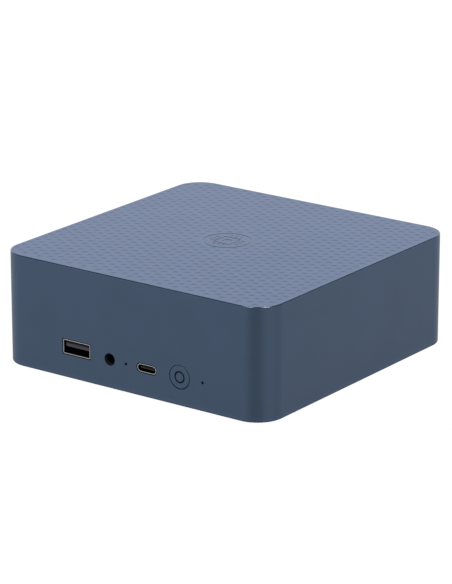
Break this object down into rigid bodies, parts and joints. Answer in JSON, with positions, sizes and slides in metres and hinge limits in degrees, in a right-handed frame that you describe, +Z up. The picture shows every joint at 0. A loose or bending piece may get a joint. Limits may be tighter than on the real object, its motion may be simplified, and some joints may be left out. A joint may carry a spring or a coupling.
{
  "type": "mini desktop computer",
  "caption": "Small square desktop computer: rounded aluminium housing, front sockets and power button, rear sockets and mains inlet, fan, boards and power supply inside.",
  "frame": {"origin": "centre of the footprint, on the plane the rubber feet rest on", "axes": "+Z up, front with the power button at -Y, right side at +X"},
  "size_m": [0.126, 0.126, 0.0464],
  "materials": {
    "shell": "satin blue-grey, fine metallic",
    "cover": "fine grain",
    "panel": "fine grain",
    "foot_rubber": "matt",
    "screw_black": "blackened",
    "screw_steel": "zinc plated",
    "mesh": "woven screen",
    "button_metal": "satin blue-grey",
    "light_guide": "smoked clear plastic",
    "clear_plastic": "clear plastic",
    "bracket_plastic": "moulded",
    "switch_plastic": "moulded",
    "plunger_plastic": "moulded",
    "socket_steel": "bright tinned steel",
    "jack_plastic": "gloss",
    "insert_plastic": "moulded",
    "contact_gold": "gold flash",
    "inlet_plastic": "moulded",
    "board": "solder mask over glass fibre",
    "die": "carrier and dies",
    "chip": "moulded epoxy",
    "can": "sleeved aluminium",
    "header_plastic": "moulded",
    "socket_black": "moulded",
    "latch_steel": "spring steel",
    "brass": "turned",
    "pad": "soft",
    "alu": "plain",
    "copper": "copper",
    "fan_plastic": "moulded",
    "magnet": "bonded ferrite",
    "stator": "laminated core with enamelled winding",
    "tray": "insulating sheet",
    "battery": "plated",
    "ferrite": "ferrite and yellow tape",
    "wire": "insulated"
  },
  "bodies": {
    "computer": {"top_shell": "shell", "bottom_cover": "cover", "rear_panel": "panel", "rubber_feet": "foot_rubber", "bottom_cover_screws": "screw_black", "dust_filter": "mesh", "button_bracket": "bracket_plastic", "power_switch_body": "switch_plastic", "reset_switch_body": "switch_plastic", "light_guides": "clear_plastic", "front_usb_a_shell": "socket_steel", "front_usb_c_shell": "socket_steel", "audio_jack_body": "jack_plastic", "rear_usb_shells": "socket_steel", "hdmi_shells": "socket_steel", "lan_shells": "socket_steel", "socket_inserts": "insert_plastic", "socket_contacts": "contact_gold", "mains_inlet": "inlet_plastic", "mains_pins": "brass", "motherboard": "board", "processor": "die", "board_chips": "chip", "board_capacitors": "can", "board_headers": "header_plastic", "inner_screws": "screw_steel", "memory_socket": "socket_black", "memory_module": "board", "card_sockets": "socket_black", "drive": "board", "radio_card": "board", "card_standoffs": "brass", "thermal_pad": "pad", "drive_heat_spreader": "alu", "clock_battery": "battery", "heat_pipes": "copper", "cold_plate": "copper", "cooler_bracket": "latch_steel", "fin_stack": "alu", "fan_housing": "fan_plastic", "fan_cover": "latch_steel", "fan_bush": "brass", "fan_stator": "stator", "psu_tray": "tray", "psu_board": "board", "psu_magnetics": "ferrite", "psu_capacitors": "can", "psu_heat_sink": "alu", "internal_wires": "wire", "aerials": "socket_black"},
    "button": {"power_button": "button_metal", "power_button_ring": "light_guide"},
    "power_plunger": {"power_switch_plunger": "plunger_plastic"},
    "reset_plunger": {"reset_switch_plunger": "plunger_plastic"},
    "latch_front": {"memory_latch_front": "latch_steel"},
    "latch_back": {"memory_latch_back": "latch_steel"},
    "fan_wheel": {"fan_impeller": "fan_plastic", "fan_magnet": "magnet", "fan_shaft": "screw_steel"}
  },
  "joints": [
    {"name": "power_button_press", "type": "slide", "parent": "computer", "child": "button", "axis": [0, 1, 0], "range_m": [0, 0.00035], "stiffness_N_per_m": 900, "springref_m": -0.0002},
    {"name": "power_plunger_press", "type": "slide", "parent": "computer", "child": "power_plunger", "axis": [0, 1, 0], "range_m": [0, 0.00035]},
    {"name": "reset_press", "type": "slide", "parent": "computer", "child": "reset_plunger", "axis": [0, 1, 0], "range_m": [0, 0.00025]},
    {"name": "memory_latch_front_swing", "type": "hinge", "parent": "computer", "child": "latch_front", "pos_m": [-0.05, -0.036, 0.0076], "axis": [0, 0, 1], "range_deg": [-6, 0]},
    {"name": "memory_latch_back_swing", "type": "hinge", "parent": "computer", "child": "latch_back", "pos_m": [-0.05, 0.036, 0.0076], "axis": [0, 0, 1], "range_deg": [0, 6]},
    {"name": "fan_spin", "type": "hinge", "parent": "computer", "child": "fan_wheel", "pos_m": [-0.012, 0.006, 0.037], "axis": [0, 0, 1], "continuous": true}
  ],
  "couplings": [
    {"joint": "power_plunger_press", "follows": "power_button_press", "ratio": 1}
  ]
}
